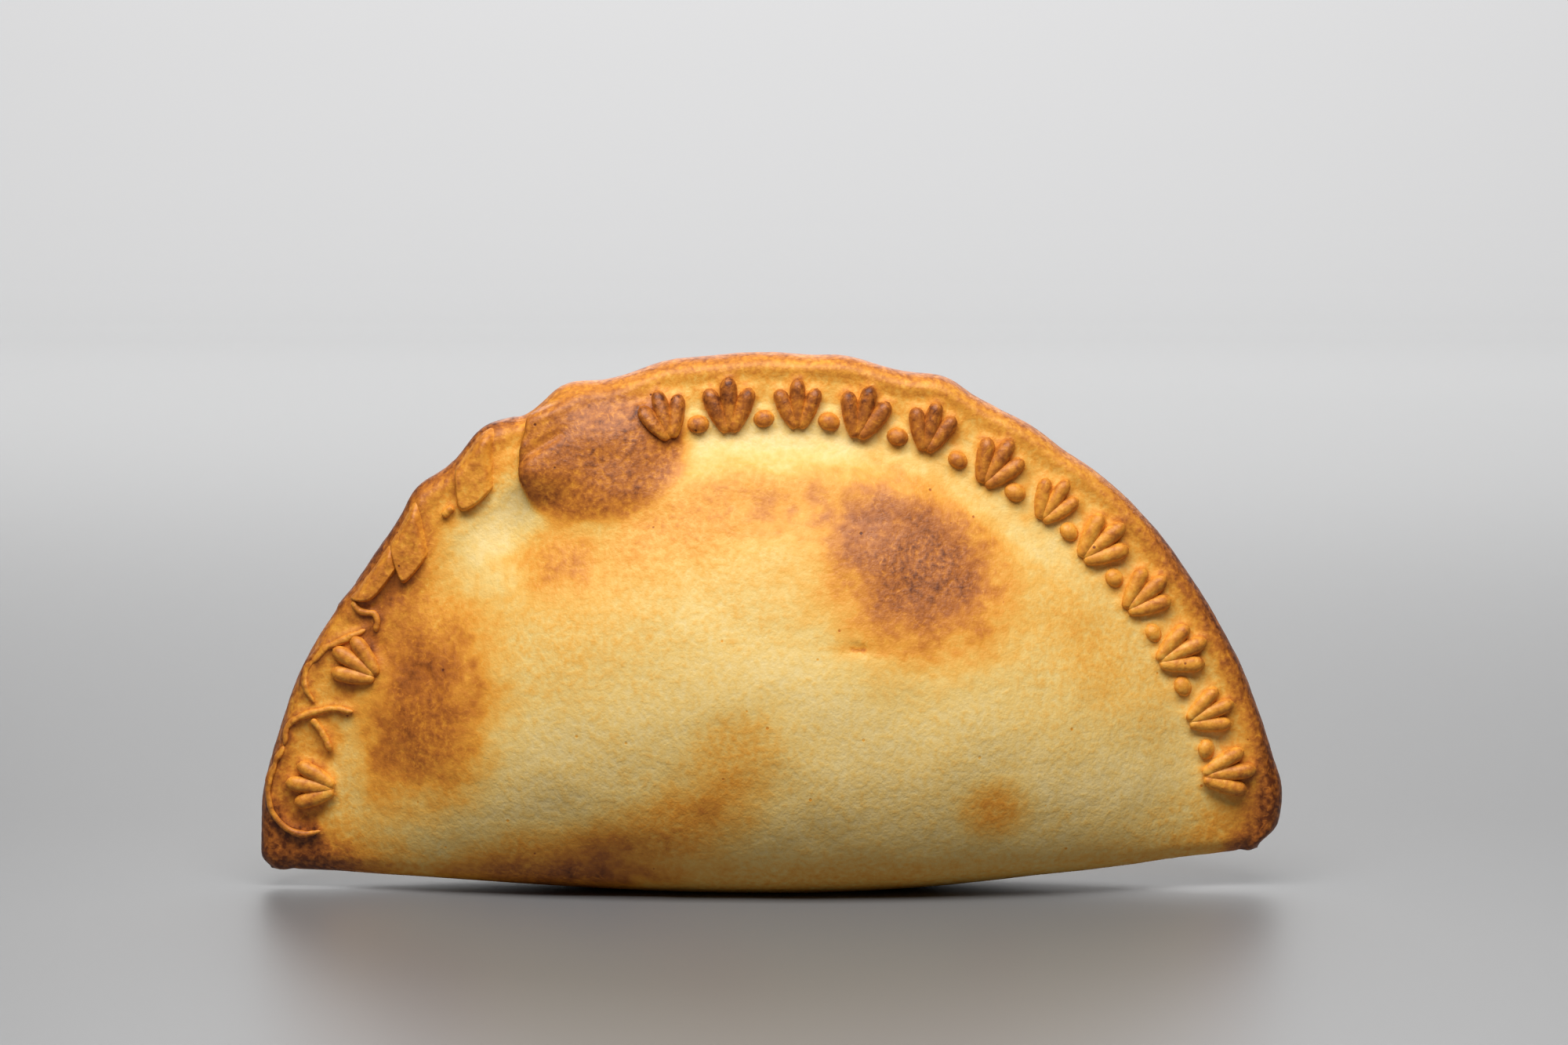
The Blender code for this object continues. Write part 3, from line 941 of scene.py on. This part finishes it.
def rim_browning(at):
    """The rim is golden, and the hollow inside it is paler from upper left to upper right, partly as pale
    dough and partly as painted light.
    """
    leftward = at.angle.step(146, 158)
    rim = (at.inset + at.patchy * (4 * MM) - leftward * (1.8 * MM)).step(7.0 * MM, 4.0 * MM)
    upper = at.angle.step(20, 45) * at.angle.step(150, 135)
    # Partly painted light: the upper hollow is made paler so that it looks brightly lit
    pale_lit_hollow = hump(at.inset - HOLLOW_INSET, HOLLOW_WIDTH) * upper
    edge = (at.inset + at.patchy * (2 * MM)).step(3.8 * MM, 1.0 * MM)
    edge_share = BROWNING["edge"] + BROWNING["right edge"] * at.angle.step(60, 25)
    level = rim * (BROWNING["rim"] + leftward * BROWNING["left rim"]) + pale_lit_hollow * BROWNING["pale_lit_hollow"]
    return level + edge * edge_share + (1 - at.inset / MM).clamped() * BROWNING["very edge"]


def tip_browning(at):
    """Both lower corners of the half-moon are dark, the left one most."""
    drift = at.patchy * (12 * MM) + at.broad * (8 * MM)
    left = (at.up + drift).step(12 * MM, 0 * MM) * (at.along - drift).step(-42 * MM, -61 * MM)
    right = (at.up + drift).step(17 * MM, 3 * MM) * (at.along + drift).step(45 * MM, 60 * MM)
    return left * BROWNING["left tip"] + right * BROWNING["right tip"]


def blister_browning(at, level):
    """The blister's own level in place of this one, up to its crisp left side."""
    share = spot(at, BLISTER_SPOT, 0.45, 0.74, 1.06) * at.tree.read("blister_side")
    own = BROWNING["blister"] + spot(at, BLISTER_HEART) + at.broad * 0.2 + at.patchy * 0.2
    return level + share * (own - level)


def back_browning(at):
    """The back is browned in its middle and patchily, as dough that lay on a tray."""
    middle = (at.inset + at.broad * (16 * MM)).step(10 * MM, 26 * MM)
    caught = at.tree.noise(at.point, TRAY_GRAIN, 2).step(0.02, 0.16)
    level = BROWNING["back"] + BROWNING["back middle"] * middle + BROWNING["back patches"] * caught * middle
    return (1 - at.front) * level


def fold_darkening(at):
    """The crust is darker towards the fold at the bottom, most at the left."""
    low = (at.up + at.patchy * (4 * MM)).step(6.0 * MM, 0.4 * MM)
    return low * (BROWNING["fold"] + BROWNING["left fold"] * at.along.step(10 * MM, -40 * MM))


def mark_level(at, level):
    """The level of a raised mark on dough of this level."""
    upper = at.angle.step(45, 75) * at.angle.step(120, 108)
    top = at.tree.read("raised").step(0.1, 1.4)
    level = MARK_BROWNING["start"] + MARK_BROWNING["share of the dough"] * level
    level = level + MARK_BROWNING["low marks"] * (1 - upper) + MARK_BROWNING["tabs"] * at.angle.step(120, 128)
    level = level + top * (MARK_BROWNING["top"] + MARK_BROWNING["top of the upper marks"] * upper)
    return level + at.patchy * MARK_BROWNING["small patches"]


def baking_level(at, on_marks):
    """How far the crust has baked, before its fine grain, with painted shade at the marks' feet and in the
    crack and partly painted light in the hollow: 0 is pale dough and 1 dark brown.
    """
    level = BROWNING["dough"] + at.broad * BROWNING["broad patches"] + at.patchy * BROWNING["small patches"]
    level = level + rim_browning(at) + tip_browning(at)
    for values in BROWN_SPOTS:
        level = level + at.front * spot(at, values)
    level = blister_browning(at, level) + back_browning(at) + fold_darkening(at)
    if on_marks:
        return mark_level(at, level)
    # Painted shade: the crust is darker in the crease round the marks' feet
    foot = hump(at.tree.read("mark_distance"), 0.6 * MM) * BROWNING["mark foot shade"]
    # Painted shade: the crust is darker in the small crack and its crease
    return level + foot + at.front * crack_shape(at.tree, at.along, at.up) * BROWNING["crack"]


def fine_mottles(at, depth):
    """Mottles and flecks, a little stronger on dark crust, and pale flecks that show only there."""
    mottles = (at.mottle * 0.30 + at.fleck * 0.46) * (0.95 + depth * 0.20)
    pale_flecks = at.tree.noise(at.point, PALE_FLECK_GRAIN, 2, 0.5, 1.6).step(0.06, 0.22)
    return mottles - pale_flecks * depth * 0.14


def pin_specks(tree, place):
    """Tiny dark specks, a few millimetres apart."""
    cells = tree.node("ShaderNodeTexVoronoi", {}, {"Vector": place, "Scale": 1 / SPECK_CELL})
    picked = tree.parts(cells.outputs["Color"])[0] > SPECKLESS_SHARE
    return Number(tree, cells.outputs["Distance"]).step(0.085, 0.045) * picked


def baked_crust(name, on_marks):
    """The crust's material: a baking level from 0 to 1 chooses its colour, sheen and grain."""
    material = bpy.data.materials.new(name)
    material.use_nodes = True
    tree = Tree(material.node_tree)
    shader = material.node_tree.nodes["Principled BSDF"]
    at = CrustPlace(tree)
    level = baking_level(at, on_marks).below(1)
    depth = level.clamped()
    specks = pin_specks(tree, at.point)
    level = level + fine_mottles(at, depth) + specks * BROWNING["speck"]
    level = level - (level - DARK_KNEE).above(0) * 0.30
    ramp = tree.node("ShaderNodeValToRGB", {"stops": BAKING_COLOURS}, {0: level.clamped()})
    tree.feed(shader.inputs["Base Color"], ramp.outputs["Color"])
    tree.feed(shader.inputs["Roughness"], 0.60 - 0.14 * depth + at.mottle * 0.2)
    pores = tree.noise(at.point, PORE_GRAIN, 1)
    height = at.mottle * 0.10 + at.fleck * 0.07 + pores * 0.03 - specks * 0.03
    bump = tree.node("ShaderNodeBump", {}, {"Height": height, "Strength": 0.8, "Distance": 0.9 * MM})
    tree.feed(shader.inputs["Normal"], bump.outputs["Normal"])
    shader.inputs["Specular IOR Level"].default_value = 0.35
    return material


def turn_outward(piece):
    mesh = bmesh.new()
    mesh.from_mesh(piece.data)
    bmesh.ops.recalc_face_normals(mesh, faces=mesh.faces)
    mesh.to_mesh(piece.data)
    mesh.free()


def backdrop():
    """A plain floor, pale under this light, that curves up into a plain wall."""
    half_width, front, foot, bend, top = 2.2, -1.6, 1.1, 0.5, 2.0
    bend_steps = 12
    outline = [(front, 0.0)]
    for step in range(bend_steps + 1):
        turn = math.pi / 2 * step / bend_steps
        outline.append((foot + bend * math.sin(turn), bend * (1 - math.cos(turn))))
    outline.append((foot + bend, top))
    verts = [(side * half_width, y, z) for y, z in outline for side in (-1, 1)]
    faces = [(2 * i, 2 * i + 1, 2 * i + 3, 2 * i + 2) for i in range(len(outline) - 1)]
    data = bpy.data.meshes.new("backdrop")
    data.from_pydata(verts, [], faces)
    data.shade_smooth()
    material = bpy.data.materials.new("pale_backdrop")
    material.use_nodes = True
    shader = material.node_tree.nodes["Principled BSDF"]
    shader.inputs["Base Color"].default_value = (0.17, 0.17, 0.171, 1)
    shader.inputs["Roughness"].default_value = 0.42
    data.materials.append(material)
    floor = bpy.data.objects.new("backdrop", data)
    bpy.context.scene.collection.objects.link(floor)


def softbox(name, place, size, watts, target=(0, 0, 0.03)):
    light = bpy.data.lights.new(name, "AREA")
    light.energy = watts
    light.shape = "RECTANGLE"
    light.size, light.size_y = size
    box = bpy.data.objects.new(name, light)
    box.location = place
    box.rotation_euler = (Vector(target) - box.location).to_track_quat("-Z", "Y").to_euler()
    bpy.context.scene.collection.objects.link(box)


def studio_light():
    world = bpy.data.worlds.new("studio")
    world.use_nodes = True
    sky = world.node_tree.nodes["Background"]
    sky.inputs["Color"].default_value = (0.95, 0.96, 1.0, 1)
    sky.inputs["Strength"].default_value = 0.03
    bpy.context.scene.world = world
    softbox("overhead_softbox", place=(-0.02, -0.228, 0.430), size=(0.50, 0.22), watts=3.3)
    softbox("back_softbox", place=(0.10, 0.50, 0.42), size=(0.70, 0.30), watts=1.8)
    softbox("wall_light", place=(0.0, 0.6, 1.1), size=(1.8, 0.3), watts=92.0, target=(0, 1.6, 0.6))


def camera():
    """Straight in front, a little above the pastry, through a long lens."""
    distance = 0.530
    elevation = math.radians(5.8)
    middle = Vector((0.0016, 0, 0.0447))
    lens = bpy.data.cameras.new("camera")
    lens.lens = 100.0
    lens.sensor_width = 36.0
    eye = bpy.data.objects.new("camera", lens)
    eye.location = middle + distance * Vector((0, -math.cos(elevation), math.sin(elevation)))
    eye.rotation_euler = (middle - eye.location).to_track_quat("-Z", "Y").to_euler()
    bpy.context.scene.collection.objects.link(eye)
    bpy.context.scene.camera = eye


def marks_mesh(pieces):
    """All marks in one mesh, for the dough to rise around."""
    mesh = bmesh.new()
    for piece in pieces:
        mesh.from_mesh(piece.data)
    data = bpy.data.meshes.new("marks")
    mesh.to_mesh(data)
    mesh.free()
    return data


def raised_marks():
    paint = baked_crust("browned_marks", True)
    border = spray_border(paint)
    pieces = [
        grown("sprays_right", border, {**DOUGH_SIZES, **SPRAY_SIZES, **RIGHT_SPRAYS}),
        grown("sprays_left", border, {**DOUGH_SIZES, **SPRAY_SIZES, **LEFT_SPRAYS}),
        grown("beads", bead_border(paint), {**DOUGH_SIZES, **BEAD_SIZES}),
    ]
    ridge = squeezed_ridge(paint)
    for name, path in SQUEEZED_RIDGES.items():
        pieces.append(grown(name, ridge, {**DOUGH_SIZES, **RIDGE_SIZES}, guide_curve(name, path)))
    tab = slanted_tab(paint)
    for number, (angle, depth, lean) in enumerate(TABS):
        sizes = {**DOUGH_SIZES, **TAB_SIZES, "Angle": math.radians(angle), "Depth": depth, "Left Lean": lean}
        pieces.append(grown(f"tab_{number}", tab, sizes))
    return pieces


def main():
    bpy.context.scene.view_settings.view_transform = "Standard"
    bpy.context.scene.view_settings.look = "None"
    marks = raised_marks()
    dough = folded_dough(baked_crust("baked_crust", False))
    crust = grown("crust", dough, {**DOUGH_SIZES, **RELIEF_SIZES}, marks_mesh(marks))
    for piece in [crust, *marks]:
        turn_outward(piece)
        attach(piece, "root")
        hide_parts("empanada")
    backdrop()
    studio_light()
    camera()


main()
